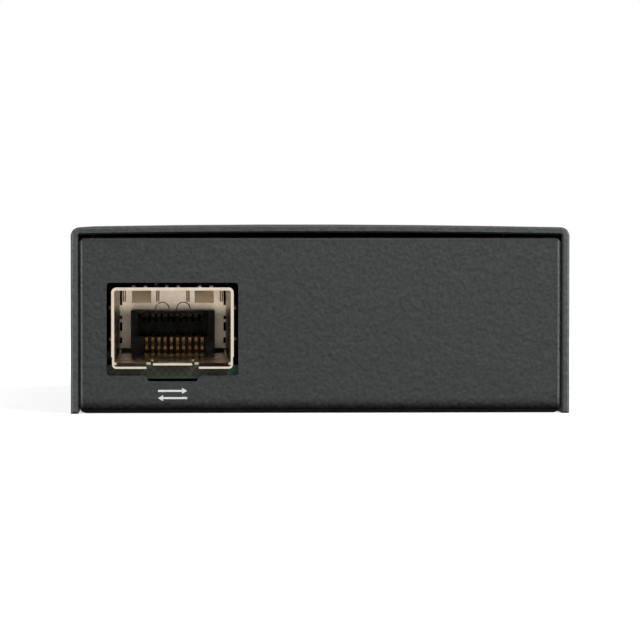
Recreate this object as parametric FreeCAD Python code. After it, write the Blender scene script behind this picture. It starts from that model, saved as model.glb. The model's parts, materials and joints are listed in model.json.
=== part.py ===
"""Compact SFP-to-copper fibre media converter in a folded steel housing.

Millimetres, +Z up. The SFP port looks along -Y, the copper port and the power inlet along +Y.
The origin is on the underside, in the middle of the housing.
"""
import FreeCAD, Part
import math
import os

V = FreeCAD.Vector

CLEARANCE = 0.05            # between a piece and the one it is fitted into

# --- Housing ---------------------------------------------------------------------------------
WIDTH = 60.0                # over the cover's sides
DEPTH = 82.0                # over the cover, front to back
HEIGHT = 22.4               # underside to the cover's top, at its corners
CROWN = 0.25                # rise of the cover's top at its middle
COVER_SHEET = 0.9           # with its coat
COVER_BEND = 1.1            # outer radius of the cover's two folds
CHASSIS_SHEET = 0.8
CHASSIS_BEND = 1.3          # outer radius of the chassis folds
PANEL_SIDE_GAP = 0.12       # front panel's edge to the inside of the cover
PANEL_TOP_GAP = 0.4
PANEL_SET_BACK = 0.5        # panel face behind the cover's edge
PANEL_CORNER = 0.65         # radius of a panel's upper corners
EDGE_BREAK = 0.2            # bevel on the coated edges of the sheet
RELIEF_WIDTH = 1.0          # notch in the floor between a panel's fold and a side flange
FOLD_CORNER = 0.8           # rounding at each end of a panel's fold
VENT_COUNT = 7
VENT_PITCH = 4.5
VENT_WIDTH = 1.8
VENT_LENGTH = 9.0
VENT_Z = 13.0               # middle of the vent slots

# --- Screws ----------------------------------------------------------------------------------
THREAD_D = 3.0
THREAD_GAP = 0.05           # screw shank to its hole
COVER_HEAD_D = 5.5
COVER_SCREW_LENGTH = 4.0
COVER_SCREW_INSET = 12.0    # from the cover's front and rear edges
COVER_SCREW_Z = 10.6
DIMPLE_REACH = 1.1          # screw dimple beyond the cover's inner face
TAB_WIDTH = 9.0             # screw tab on the side flange
TAB_RISE = 3.2              # tab above the screw's middle
FLANGE_HEIGHT = 3.4
BOARD_HEAD_D = 5.5
BOARD_HEAD_H = 1.8
BOARD_SCREW_LENGTH = 4.6    # under the head

# --- Main board ------------------------------------------------------------------------------
BOARD_THICKNESS = 1.6
BOARD_EDGE_GAP = 0.6        # board to the side flanges
BOARD_END_GAP = 0.25        # board to the front and rear panels
HOLE_GAP = 0.2              # round a pin or post in its board hole
LEAD_REACH = 2.5            # pins below the board's top
STANDOFF_H = 3.4
STANDOFF_FLATS = 5.0        # across the barrel's flats
STANDOFF_BASE_FLATS = 4.2   # part pressed into the floor
STANDOFF_INSET = 3.2        # from the board's long edges
STANDOFF_FRONT = 4.9        # from the board's front edge
STANDOFF_REAR = 12.4        # from the board's rear edge
STANDOFF_CAGE_GAP = 5.0     # middle standoff to the side of the cage

# --- SFP cage --------------------------------------------------------------------------------
CAGE_EDGE_GAP = 1.55        # cage to the board's left edge
CAGE_INNER_WIDTH = 14.0
CAGE_HEIGHT = 9.25          # above the board
CAGE_LENGTH = 48.7
CAGE_SHEET = 0.25
CAGE_CORNER = 0.5           # outer radius
CAGE_PROUD = 0.3            # mouth ahead of the panel face
LIP_DROP = 0.4              # lower lips below the board's top
LIP_LENGTH = 0.35           # level part of a lip, ahead of its ramp
LATCH_GAP_WIDTH = 6.3       # between the two lower lips
LATCH_GAP_LENGTH = 3.0
TONGUE_WIDTH = 4.7
TONGUE_LENGTH = 13.0
TONGUE_SLIT = 0.3           # beside the tongue, behind the gap
LATCH_WINDOW = 2.8
CAGE_PIN_COUNT = 6          # on each side
CAGE_PIN_PITCH = 8.0
CAGE_PIN_WIDTH = 0.7
BACK_FOOT = 0.45            # gap under the cage's rear
BACK_SILL = 6.42            # lower edge of the rear windows, above the board
BACK_WINDOW_INNER = 2.9     # from the port's middle
BACK_WINDOW_OUTER = 5.4
WINDOW_LEAN = 0.45          # tab bent back out of each rear window
CORNER_SLIT = 0.28          # between the rear's edge and the side walls
KICK_OFFSET = 1.4           # arched kick-out tabs
KICK_WIDTH = 2.0
KICK_RISE = 0.2             # above the rear windows' lower edge
KICK_SLIT = 0.12
RIDGE_OFFSETS = (2.0, 6.45) # folded ridges, from the rear's middle
RIDGE_D = 0.44
COLLAR_SHEET = 0.1
COLLAR_LENGTH = 0.3
FINGER_BOW = 0.4
FINGER_STEP = 0.2           # length of the finger's steep front
FINGER_LENGTH = 4.6
FINGER_WIDTH = 0.4
FINGER_PAIR = 1.4           # between the two fingers of a pair
FINGER_PITCH = 3.95         # from pair to pair
SIDE_FINGER_LEVELS = (3.15, 6.9)    # above the board
PORT_SIDE_GAP = 0.66        # cage to the panel's port opening
PORT_TOP_GAP = 0.69
PORT_SILL_DROP = 1.25       # opening's lower edge below the board's top
PORT_CORNER = 0.4
NOTCH_DEPTH = 0.7           # notch in the middle of the lower edge
NOTCH_TOP_WIDTH = 6.8
NOTCH_BOTTOM_WIDTH = 5.7

# --- SFP connector ---------------------------------------------------------------------------
CONNECTOR_REAR_GAP = 3.1    # to the outside of the cage's rear
CONNECTOR_LENGTH = 9.6
CONNECTOR_HEIGHT = 5.65
CONNECTOR_WALL = 0.92       # beside the card slot
CEILING = 0.35              # over the card slot
CARD_SLOT_DEPTH = 7.0
CARD_SLOT_MARGIN = 1.05     # slot wider than the contact row
JAW_HEIGHT = 2.4            # below the card slot
MOUTH_DEPTH = 1.4           # stepped-back lower half of the slot's mouth
LEG_ROOM = 1.6              # open space for the front legs
CONTACT_COUNT = 10          # in each row
CONTACT_PITCH = 0.8
CONTACT_WIDTH = 0.36
CONTACT_SHEET = 0.15
ROW_SHIFT = 0.2             # lower row to the right, upper row to the left
TAIL_LENGTH = 0.5           # contact tail ahead of the body
LEG_KNEE = 0.45             # how far a lower leg leans forward below its top bend
LOWER_CREST = 2.5           # lower spring's crest and end, from its leg
LOWER_RISE = 0.3            # crest above the jaw
LOWER_END = 4.7
UPPER_START = 1.4           # upper spring's free end, crest and root, from the body's front
UPPER_CREST = 3.2
UPPER_ROOT = 6.4
PEG_D = 1.2

# --- Copper port -----------------------------------------------------------------------------
JACK_EDGE_GAP = 6.6         # jack to the board's left edge
JACK_LENGTH = 21.3
JACK_PROUD = 0.2            # ahead of the rear panel's face
JACK_SHEET = 0.25
JACK_OPENING_GAP = 0.12     # shield to the panel's opening
JACK_SIDE = 2.0             # beside the plug space
JACK_FLOOR = 1.5            # under the plug space's lowest step
PLUG_WIDTH = 12.0
PLUG_HEIGHT = 6.8
PLUG_DEPTH = 13.0
LATCH_WIDTH = 6.4
LATCH_HEIGHT = 1.4
KEY_WIDTH = 3.6
KEY_HEIGHT = 1.1
LIGHT_WIDTH = 3.0
LIGHT_HEIGHT = 1.7
LIGHT_LENGTH = 6.0
LIGHT_MARGIN = 1.0          # beside a light
LIGHT_FLOOR = 0.4           # between the plug space and a light
LIGHT_CEILING = 0.6
WIRE_COUNT = 8
WIRE_PITCH = 1.02
WIRE_D = 0.3
WIRE_FALL = 3.4             # free end below the ceiling
JACK_TAB_WIDTH = 1.5
JACK_SPRING_WIDTH = 2.4
JACK_SPRING_BOW = 0.45
JACK_SPRING_LEVEL = 8.2     # above the board
POST_D = 3.0
POST_INSET = 2.2            # post's middle from the jack's side
POST_SET_BACK = 8.5         # from the jack's face

# --- Power inlet -----------------------------------------------------------------------------
INLET_EDGE_GAP = 6.6        # inlet to the board's right edge
INLET_LENGTH = 14.2
INLET_WALL = 1.3
INLET_BORE_D = 6.4
INLET_BORE_DEPTH = 9.6
INLET_BORE_Z = 6.3          # above the board
INLET_PIN_D = 2.1
INLET_PIN_LENGTH = 8.8
INLET_HOLE_D = 8.4          # in the rear panel
BLADE_SHEET = 0.4
BLADE_WIDTH = 2.6
BLADE_SET_BACK = 7.8        # sleeve terminal from the inlet's face

# --- Indicators ------------------------------------------------------------------------------
LAMP_PITCH = 3.8
LAMP_D = 3.0
LAMP_Z = 4.0                # above the board
LAMP_PANEL_GAP = 0.15
LAMP_PROUD = 0.3
HOLDER_LENGTH = 5.0
HOLDER_WALL = 0.5

# --- Board parts: length, width, height, and places from the middle of the open board ---------
CHIP_SIZE = (9.0, 9.0, 0.9)
CHIP_PLACE = (-2.5, -3.0)
SMALL_CHIP_SIZE = (4.9, 3.9, 1.5)
MEMORY_PLACE = (-4.0, -15.5)
REGULATOR_PLACE = (11.0, 14.0)
LEAD_PITCH = 1.27
LEAD_WIDTH = 0.4
LEAD_SHEET = 0.15
MAGNETICS_SIZE = (12.7, 7.1, 5.6)
MAGNETICS_PLACE = (-4.0, 14.5)
CRYSTAL_SIZE = (11.2, 4.6, 3.4)
CRYSTAL_FLANGE = 0.4
CRYSTAL_PLACE = (9.0, -12.0)
CAN_D = 6.3
CAN_HEIGHT = 7.4
CAN_BASE = 6.6
CAN_BASE_HEIGHT = 1.2
CAN_PLACES = [(13.0, -3.0), (13.0, 5.0)]
INDUCTOR_SIZE = (6.0, 6.0, 3.0)
INDUCTOR_PLACE = (5.0, 5.5)
CAPACITOR_SIZE = (2.0, 1.25, 1.0)
CAPACITOR_PLACES = [(-10.0, -9.0), (-10.0, -5.5), (-10.0, -2.0), (-10.0, 1.5), (-2.5, 4.5), (5.0, -2.0),
                    (5.0, -5.0), (5.0, -8.0), (0.5, 4.5), (-6.0, 4.5), (5.5, 11.5), (5.5, 14.5)]
RESISTOR_SIZE = (1.6, 0.8, 0.5)
RESISTOR_PLACES = [(-13.0, -9.0), (-13.0, -6.0), (-13.0, -3.0), (-13.0, 0.0), (-10.0, -12.0), (-6.0, -10.5),
                   (-3.0, -10.5), (0.5, -10.5), (-9.5, 5.0), (-9.5, 7.5), (0.5, -13.5), (5.5, 17.0)]

# --- Levels and planes that follow -----------------------------------------------------------
HALF_WIDTH = WIDTH / 2
HALF_DEPTH = DEPTH / 2
PANEL_FACE = HALF_DEPTH - PANEL_SET_BACK
PANEL_BACK = PANEL_FACE - CHASSIS_SHEET
PANEL_HALF = HALF_WIDTH - COVER_SHEET - PANEL_SIDE_GAP
REAR_HALF = HALF_WIDTH - COVER_BEND
PANEL_TOP = HEIGHT - COVER_SHEET - PANEL_TOP_GAP
FLANGE_FACE = HALF_WIDTH - COVER_SHEET - DIMPLE_REACH
FLANGE_BACK = FLANGE_FACE - CHASSIS_SHEET
COVER_SCREW_Y = HALF_DEPTH - COVER_SCREW_INSET
BOARD_BOTTOM = CHASSIS_SHEET + STANDOFF_H
BOARD_TOP = BOARD_BOTTOM + BOARD_THICKNESS
BOARD_HALF = FLANGE_BACK - BOARD_EDGE_GAP
BOARD_FRONT = -PANEL_BACK + BOARD_END_GAP
BOARD_BACK = PANEL_BACK - BOARD_END_GAP

CAGE_HALF = CAGE_INNER_WIDTH / 2 + CAGE_SHEET
CAGE_TOP = BOARD_TOP + CAGE_HEIGHT
CAGE_FRONT = -PANEL_FACE - CAGE_PROUD
CAGE_BACK = CAGE_FRONT + CAGE_LENGTH
LIP_BACK = BOARD_FRONT - CLEARANCE
PORT_X = -BOARD_HALF + CAGE_EDGE_GAP + CAGE_HALF
CONNECTOR_BACK = CAGE_BACK - CONNECTOR_REAR_GAP
CONNECTOR_FRONT = CONNECTOR_BACK - CONNECTOR_LENGTH
CONNECTOR_TOP = BOARD_TOP + CONNECTOR_HEIGHT
CARD_SLOT_HALF = (CONTACT_COUNT * CONTACT_PITCH + CARD_SLOT_MARGIN) / 2
CONNECTOR_HALF = CARD_SLOT_HALF + CONNECTOR_WALL

JACK_HALF = PLUG_WIDTH / 2 + JACK_SIDE
JACK_X = -BOARD_HALF + JACK_EDGE_GAP + JACK_HALF
JACK_FRONT = PANEL_FACE + JACK_PROUD
JACK_BACK = JACK_FRONT - JACK_LENGTH
PLUG_SILL = BOARD_TOP + JACK_FLOOR + KEY_HEIGHT + LATCH_HEIGHT
PLUG_TOP = PLUG_SILL + PLUG_HEIGHT
LIGHT_X = JACK_HALF - LIGHT_MARGIN - LIGHT_WIDTH / 2
LIGHT_Z = PLUG_TOP + LIGHT_FLOOR
JACK_TOP = LIGHT_Z + LIGHT_HEIGHT + LIGHT_CEILING

INLET_HALF = INLET_BORE_D / 2 + INLET_WALL
INLET_X = BOARD_HALF - INLET_EDGE_GAP - INLET_HALF
INLET_FRONT = PANEL_BACK - CLEARANCE
INLET_BACK = INLET_FRONT - INLET_LENGTH
INLET_Z = BOARD_TOP + INLET_BORE_Z
LAMP_X = (JACK_X + JACK_HALF + INLET_X - INLET_HALF) / 2
LAMP_LEVEL = BOARD_TOP + LAMP_Z

STANDOFF_X = BOARD_HALF - STANDOFF_INSET
STANDOFF_PLACES = [
    (STANDOFF_X, BOARD_FRONT + STANDOFF_FRONT),
    (PORT_X + CAGE_HALF + STANDOFF_CAGE_GAP, BOARD_FRONT + STANDOFF_FRONT),
    (-STANDOFF_X, BOARD_BACK - STANDOFF_REAR),
    (STANDOFF_X, BOARD_BACK - STANDOFF_REAR),
]
OPEN_X = (PORT_X + CAGE_HALF + BOARD_HALF) / 2      # middle of the open board beside the cage
OPEN_Y = (BOARD_FRONT + JACK_BACK) / 2

# Local sections are drawn in u, v and extruded along w.
TO_SIDE = FreeCAD.Rotation(V(0, 1, 0), V(0, 0, 1), V(1, 0, 0))     # u, v, w = y, z, x
TO_FRONT = FreeCAD.Rotation(V(1, 0, 0), V(0, 0, 1), V(0, -1, 0))   # u, v, w = x, z, -y


# --- Shape helpers ---------------------------------------------------------------------------
def box(x0, x1, y0, y1, z0, z1):
    """Box between two planes along each axis, in either order along x and y."""
    return Part.makeBox(abs(x1 - x0), abs(y1 - y0), z1 - z0, V(min(x0, x1), min(y0, y1), z0))


def block(x, y, z0, length_x, length_y, height):
    """Box centred on x, y that stands on z0."""
    return box(x - length_x / 2, x + length_x / 2, y - length_y / 2, y + length_y / 2, z0, z0 + height)


def rod(diameter, start, end):
    axis = end - start
    return Part.makeCylinder(diameter / 2, axis.Length, start, axis)


def post(diameter, place, z0, z1):
    """Upright rod at an x, y place."""
    return rod(diameter, V(place[0], place[1], z0), V(place[0], place[1], z1))


def toward(start, end):
    return (end - start).normalize()


def hexagon(flats, place, z0, z1):
    """Upright hexagonal bar at an x, y place."""
    wire = Part.makePolygon([V(place[0] + flats / math.sqrt(3) * math.cos(math.radians(60 * step)),
                               place[1] + flats / math.sqrt(3) * math.sin(math.radians(60 * step)), z0)
                             for step in range(7)])
    return Part.Face(wire).extrude(V(0, 0, z1 - z0))


def rounded_run(points, radii):
    """Edges along the points, with a tangent arc at each inner corner, or none where its radius is 0."""
    edges = []
    here = points[0]
    for before, corner, after, radius in zip(points, points[1:], points[2:], radii):
        if radius == 0:
            edges.append(Part.LineSegment(here, corner).toShape())
            here = corner
            continue
        back, ahead = toward(corner, before), toward(corner, after)
        half_angle = back.getAngle(ahead) / 2
        reach = radius / math.tan(half_angle)
        first, last = corner + back * reach, corner + ahead * reach
        middle = corner + (back + ahead).normalize() * (radius / math.sin(half_angle) - radius)
        edges.append(Part.LineSegment(here, first).toShape())
        edges.append(Part.Arc(first, middle, last).toShape())
        here = last
    edges.append(Part.LineSegment(here, points[-1]).toShape())
    return edges


def prism(edges, turn, start, end):
    """Solid from closed edges in u, v, extruded from start to end along w."""
    face = Part.Face(Part.Wire(edges))
    face.translate(V(0, 0, start))
    solid = face.extrude(V(0, 0, end - start))
    solid.Placement = FreeCAD.Placement(V(0, 0, 0), turn)
    return solid


def outline_prism(corners, radii, turn, start, end):
    """Prism on a closed outline; each corner has its own radius."""
    points = [V(u, v, 0) for u, v in corners]
    opening = (points[0] + points[-1]) / 2
    return prism(rounded_run([opening] + points + [opening], radii), turn, start, end)


def front_bar(x0, x1, z0, z1, radius, y0, y1):
    """Bar along y with rounded corners."""
    return outline_prism([(x0, z0), (x1, z0), (x1, z1), (x0, z1)], [radius] * 4, TO_FRONT, -y1, -y0)


def folded(corners, sheet, bend, turn, start, end):
    """Folded strip: the corners run along one face and the sheet lies to their left.

    bend is the inner radius of every fold; 0 leaves the folds sharp.
    """
    points = [V(u, v, 0) for u, v in corners]
    up = V(0, 0, 1)
    sides = [up.cross(toward(a, b)) * sheet for a, b in zip(points, points[1:])]
    far_points = [points[0] + sides[0]]
    near_radii, far_radii = [], []
    for corner, before, after in zip(points[1:], sides, sides[1:]):
        mitre = (before + after) * (sheet * sheet / (sheet * sheet + before.dot(after)))
        far_points.append(corner + mitre)
        turns_left = before.cross(after).z > 0
        outer = bend + sheet if bend else 0
        near_radii.append(outer if turns_left else bend)
        far_radii.append(bend if turns_left else outer)
    far_points.append(points[-1] + sides[-1])
    far_end = Part.LineSegment(points[-1], far_points[-1]).toShape()
    near_end = Part.LineSegment(far_points[0], points[0]).toShape()
    edges = rounded_run(points, near_radii) + [far_end]
    edges += rounded_run(far_points[::-1], far_radii[::-1]) + [near_end]
    return prism(edges, turn, start, end)


def spring_finger(length, width, bow):
    """Finger on the plane z = 0 along +y: flat root before the origin, steep front, long fall."""
    corners = [(-COLLAR_LENGTH / 2, 0), (0, 0), (FINGER_STEP, bow - COLLAR_SHEET),
               (length / 3, bow), (length, 0)]
    return folded(corners, COLLAR_SHEET, 0, TO_SIDE, -width / 2, width / 2)


def on_right_side(shape, place):
    """Shape made on the plane z = 0, laid on a wall that faces +x at the given place."""
    shape.rotate(V(0, 0, 0), V(0, 1, 0), 90)
    shape.translate(place)
    return shape


def mirrored(shape, x=0.0):
    """The shape's mirror image about the plane at x."""
    return shape.mirror(V(x, 0, 0), V(1, 0, 0))


def joined(shapes):
    return shapes[0].multiFuse(shapes[1:]).removeSplitter()


def spaced(count, pitch):
    """Places of a centred row."""
    return [(index - (count - 1) / 2) * pitch for index in range(count)]


def end_edges(shape, y):
    """Edges that lie wholly in the plane at y."""
    return [edge for edge in shape.Edges
            if abs(edge.BoundBox.YMin - y) < 1e-4 and abs(edge.BoundBox.YMax - y) < 1e-4]


def edges_above(shape, z):
    return [edge for edge in shape.Edges if edge.BoundBox.ZMin > z - 1e-4]


def upright_edges(shape, length):
    return [edge for edge in shape.Edges if edge.BoundBox.ZLength > length - 1e-4]


# --- Housing ---------------------------------------------------------------------------------
def cover_prism(inset, floor_z, y0, y1):
    """Space inside the cover's outside, inset from it, down to floor_z."""
    half, top, radius = HALF_WIDTH - inset, HEIGHT - inset, COVER_BEND - inset
    left, right = V(-half, floor_z, 0), V(half, floor_z, 0)
    corner = radius * (1 - math.sqrt(0.5))
    edges = [
        Part.LineSegment(left, V(-half, top - radius, 0)),
        Part.Arc(V(-half, top - radius, 0), V(-half + corner, top - corner, 0), V(-half + radius, top, 0)),
        Part.Arc(V(-half + radius, top, 0), V(0, top + CROWN, 0), V(half - radius, top, 0)),
        Part.Arc(V(half - radius, top, 0), V(half - corner, top - corner, 0), V(half, top - radius, 0)),
        Part.LineSegment(V(half, top - radius, 0), right),
        Part.LineSegment(right, left),
    ]
    return prism([edge.toShape() for edge in edges], TO_FRONT, -y1, -y0)


def screw_places():
    return [(side, y) for side in (-1, 1) for y in (-COVER_SCREW_Y, COVER_SCREW_Y)]


def side_cone(side, y, depth0, depth1, d0, d1):
    """Cone along x from the cover's side face inwards; depths are from that face."""
    start = V(side * (HALF_WIDTH - depth0), y, COVER_SCREW_Z)
    return Part.makeCone(d0 / 2, d1 / 2, depth1 - depth0, start, V(-side, 0, 0))


def screw_dimple(side, y):
    """Formed countersink that carries the cover's sheet in to the flange."""
    mouth = COVER_HEAD_D + 2 * CLEARANCE + 2 * COVER_SHEET * math.sqrt(2)
    start, depth = COVER_SHEET / 2, COVER_SHEET + DIMPLE_REACH
    return side_cone(side, y, start, depth, mouth - 2 * start, mouth - 2 * depth)


def screw_seat(side, y):
    mouth = COVER_HEAD_D + 2 * CLEARANCE
    hole = THREAD_D + 4 * THREAD_GAP
    cone = side_cone(side, y, 0, (mouth - hole) / 2, mouth, hole)
    middle = COVER_SCREW_Z
    through = rod(hole, V(side * HALF_WIDTH, y, middle), V(side * (FLANGE_FACE - CLEARANCE), y, middle))
    return cone.fuse(through)


def vent_slots():
    """Upright slots with bevelled ends through both sides of the cover."""
    slots = []
    across, along = (VENT_WIDTH / 2, VENT_LENGTH / 2 - VENT_WIDTH / 3), (VENT_WIDTH / 6, VENT_LENGTH / 2)
    half = [along, across, (across[0], -across[1]), (along[0], -along[1])]
    outline = half + [(-dy, -dz) for dy, dz in half]
    for y in spaced(VENT_COUNT, VENT_PITCH):
        corners = [(y + dy, VENT_Z + dz) for dy, dz in outline]
        slots.append(outline_prism(corners, [0] * len(corners), TO_SIDE, -HALF_WIDTH - 1, HALF_WIDTH + 1))
    return slots


def top_cover():
    shell = cover_prism(0, 0, -HALF_DEPTH, HALF_DEPTH)
    shell = shell.cut(cover_prism(COVER_SHEET, -1, -HALF_DEPTH - 1, HALF_DEPTH + 1))
    shell = shell.makeChamfer(EDGE_BREAK, end_edges(shell, -HALF_DEPTH) + end_edges(shell, HALF_DEPTH))
    shell = joined([shell] + [screw_dimple(side, y) for side, y in screw_places()])
    return shell.cut([screw_seat(side, y) for side, y in screw_places()] + vent_slots())


def cross_recess(side, y):
    """Cross slot in a cover screw's head."""
    reach, slot, depth = COVER_HEAD_D * 0.28, COVER_HEAD_D * 0.1, COVER_HEAD_D * 0.18
    face, back = side * (HALF_WIDTH + 1), side * (HALF_WIDTH - CLEARANCE - depth)
    z = COVER_SCREW_Z
    return box(face, back, y - slot, y + slot, z - reach, z + reach).fuse(
        box(face, back, y - reach, y + reach, z - slot, z + slot))


def cover_screws():
    """Countersunk screws, set just under the cover's side faces."""
    screws = []
    taper = (COVER_HEAD_D - THREAD_D) / 2
    for side, y in screw_places():
        head = side_cone(side, y, CLEARANCE, CLEARANCE + taper, COVER_HEAD_D, THREAD_D)
        shank = rod(THREAD_D, V(side * (HALF_WIDTH - taper), y, COVER_SCREW_Z),
                    V(side * (HALF_WIDTH - COVER_SCREW_LENGTH), y, COVER_SCREW_Z))
        screws.append(head.fuse(shank).removeSplitter().cut(cross_recess(side, y)))
    return Part.makeCompound(screws)


def side_flange():
    """Right-hand flange with its two screw tabs."""
    half = PANEL_FACE - CHASSIS_BEND - RELIEF_WIDTH
    tab_top = COVER_SCREW_Z + TAB_RISE
    flange = folded([(FLANGE_FACE - 3 * CHASSIS_BEND, 0), (FLANGE_FACE, 0), (FLANGE_FACE, tab_top)],
                    CHASSIS_SHEET, CHASSIS_BEND - CHASSIS_SHEET, TO_FRONT, -half, half)
    tab = TAB_WIDTH / 2
    gaps = [(-half - 1, -COVER_SCREW_Y - tab), (-COVER_SCREW_Y + tab, COVER_SCREW_Y - tab),
            (COVER_SCREW_Y + tab, half + 1)]
    cuts = [box(FLANGE_BACK - 1, FLANGE_FACE + 1, y0, y1, FLANGE_HEIGHT, tab_top + 1) for y0, y1 in gaps]
    holes = [rod(THREAD_D + 2 * THREAD_GAP, V(FLANGE_BACK - 1, y, COVER_SCREW_Z),
                 V(FLANGE_FACE + 1, y, COVER_SCREW_Z)) for y in (-COVER_SCREW_Y, COVER_SCREW_Y)]
    return flange.cut(cuts + holes)


def port_opening():
    """SFP opening in the front panel, with the notch in its lower edge."""
    half = CAGE_HALF + PORT_SIDE_GAP
    sill = BOARD_TOP - PORT_SILL_DROP
    y0, y1 = -PANEL_FACE - 1, -PANEL_BACK + 1
    window = front_bar(PORT_X - half, PORT_X + half, sill, CAGE_TOP + PORT_TOP_GAP, PORT_CORNER, y0, y1)
    top, bottom = NOTCH_TOP_WIDTH / 2, NOTCH_BOTTOM_WIDTH / 2
    corners = [(PORT_X - bottom, sill - NOTCH_DEPTH), (PORT_X + bottom, sill - NOTCH_DEPTH),
               (PORT_X + top, sill), (PORT_X + top, sill + 1), (PORT_X - top, sill + 1), (PORT_X - top, sill)]
    radii = [0.15, 0.15, 0.05, 0.2, 0.2, 0.05]
    return window.fuse(outline_prism(corners, radii, TO_FRONT, -y1, -y0))


def rear_openings():
    half = JACK_HALF + JACK_OPENING_GAP
    y0, y1 = PANEL_BACK - 1, PANEL_FACE + 1
    jack = front_bar(JACK_X - half, JACK_X + half, BOARD_TOP - JACK_OPENING_GAP, JACK_TOP + JACK_OPENING_GAP,
                     PORT_CORNER, y0, y1)
    inlet = rod(INLET_HOLE_D, V(INLET_X, y0, INLET_Z), V(INLET_X, y1, INLET_Z))
    lamps = [rod(LAMP_D + 2 * LAMP_PANEL_GAP, V(LAMP_X + x, y0, LAMP_LEVEL), V(LAMP_X + x, y1, LAMP_LEVEL))
             for x in spaced(2, LAMP_PITCH)]
    return [jack, inlet] + lamps


def fold_reliefs():
    """Notches in the floor between the panels' folds and the flanges, and the space beside the flanges."""
    fold = PANEL_FACE - CHASSIS_BEND
    cuts = []
    for side in (-1, 1):
        flange, notch, outside = [side * x for x in (FLANGE_FACE, FLANGE_FACE - CHASSIS_BEND, HALF_WIDTH)]
        cuts.append(box(flange, outside, -fold, fold, -1, CHASSIS_BEND))
        cuts += [box(notch, outside, y, y - end * RELIEF_WIDTH, -1, CHASSIS_BEND)
                 for end, y in ((-1, -fold), (1, fold))]
    return cuts


def fold_ends(half, y0, y1):
    """Trims a panel to its half width and rounds both ends of its fold."""
    bulge = FOLD_CORNER * (1 - math.sqrt(0.5))
    corners = [(half - FOLD_CORNER, 0), (half - bulge, bulge), (half, FOLD_CORNER), (half, HEIGHT),
               (HALF_WIDTH, HEIGHT), (HALF_WIDTH, -1), (half - FOLD_CORNER, -1)]
    trim = outline_prism(corners, [0] * len(corners), TO_FRONT, -y1, -y0)
    return [trim, mirrored(trim)]


def chassis():
    """Floor with both end panels and the two side flanges; the rear panel follows the cover's crown."""
    pan = folded([(-PANEL_FACE, PANEL_TOP), (-PANEL_FACE, 0), (PANEL_FACE, 0), (PANEL_FACE, HEIGHT + 1)],
                 CHASSIS_SHEET, CHASSIS_BEND - CHASSIS_SHEET, TO_SIDE, -HALF_WIDTH, HALF_WIDTH)
    over_rear = box(-HALF_WIDTH, HALF_WIDTH, 0, HALF_DEPTH, PANEL_TOP, HEIGHT + 2)
    over_rear = over_rear.cut(cover_prism(COVER_SHEET + CLEARANCE, 0, -1, HALF_DEPTH + 1))
    pan = pan.cut(fold_reliefs() + [over_rear])
    pan = pan.cut(fold_ends(PANEL_HALF, -HALF_DEPTH, 0) + fold_ends(REAR_HALF, 0, HALF_DEPTH))
    corners = [edge for edge in edges_above(pan, PANEL_TOP)
               if edge.BoundBox.XLength < 1e-4 and edge.BoundBox.YMax < 0]
    pan = pan.makeFillet(PANEL_CORNER, corners)
    rims = [edge for edge in end_edges(pan, -PANEL_FACE) + end_edges(pan, PANEL_FACE)
            if edge.BoundBox.ZMax > CHASSIS_BEND + EDGE_BREAK]
    pan = pan.makeChamfer(EDGE_BREAK, rims)
    pan = joined([pan, side_flange(), mirrored(side_flange())])
    sockets = [hexagon(STANDOFF_BASE_FLATS, place, -1, 2 * CHASSIS_SHEET) for place in STANDOFF_PLACES]
    return pan.cut([port_opening()] + rear_openings() + sockets)


# --- Board and its fastening -----------------------------------------------------------------
def board_standoffs():
    """Hexagonal standoffs pressed into the floor, flush with its underside."""
    pieces = []
    for place in STANDOFF_PLACES:
        body = hexagon(STANDOFF_FLATS, place, CHASSIS_SHEET, BOARD_BOTTOM)
        base = hexagon(STANDOFF_BASE_FLATS, place, 0, CHASSIS_SHEET)
        bore = post(THREAD_D + 2 * THREAD_GAP, place, CHASSIS_SHEET / 2, BOARD_BOTTOM + 1)
        pieces.append(body.fuse(base).removeSplitter().cut(bore))
    return Part.makeCompound(pieces)


def board_screws():
    """Cheese-head screws with a straight slot."""
    pieces = []
    for place in STANDOFF_PLACES:
        head = post(BOARD_HEAD_D, place, BOARD_TOP, BOARD_TOP + BOARD_HEAD_H)
        shank = post(THREAD_D, place, BOARD_TOP - BOARD_SCREW_LENGTH, BOARD_TOP + BOARD_HEAD_H / 2)
        slot = block(*place, BOARD_TOP + BOARD_HEAD_H * 0.55, BOARD_HEAD_D * 1.1, BOARD_HEAD_D * 0.13,
                     BOARD_HEAD_H)
        pieces.append(head.fuse(shank).removeSplitter().cut(slot))
    return Part.makeCompound(pieces)


def cage_pin_places():
    middle = (CAGE_FRONT + CAGE_BACK) / 2
    x = CAGE_HALF - CAGE_SHEET / 2
    return [(PORT_X + side * x, middle + y) for side in (-1, 1)
            for y in spaced(CAGE_PIN_COUNT, CAGE_PIN_PITCH)]


def connector_peg_places():
    x = CONNECTOR_HALF - PEG_D
    y = CONNECTOR_BACK - 2 * PEG_D
    return [(PORT_X - x, y), (PORT_X + x, y)]


def jack_tab_places():
    x = JACK_HALF - JACK_SHEET / 2
    y = (JACK_FRONT + JACK_BACK) / 2
    return [(JACK_X - x, y), (JACK_X + x, y)]


def jack_post_places():
    x, y = JACK_HALF - POST_INSET, JACK_FRONT - POST_SET_BACK
    return [(JACK_X - x, y), (JACK_X + x, y)]


def blade_places():
    """Centre-pin blade behind the inlet, sleeve blade under its bore."""
    return [(INLET_X, INLET_BACK - BLADE_SHEET / 2), (INLET_X, INLET_FRONT - BLADE_SET_BACK)]


def board_slot(place, width, length):
    """Slot through the board for a flat pin, length along y."""
    return block(*place, BOARD_BOTTOM - 1, width + 2 * HOLE_GAP, length + 2 * HOLE_GAP, BOARD_THICKNESS + 2)


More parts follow.
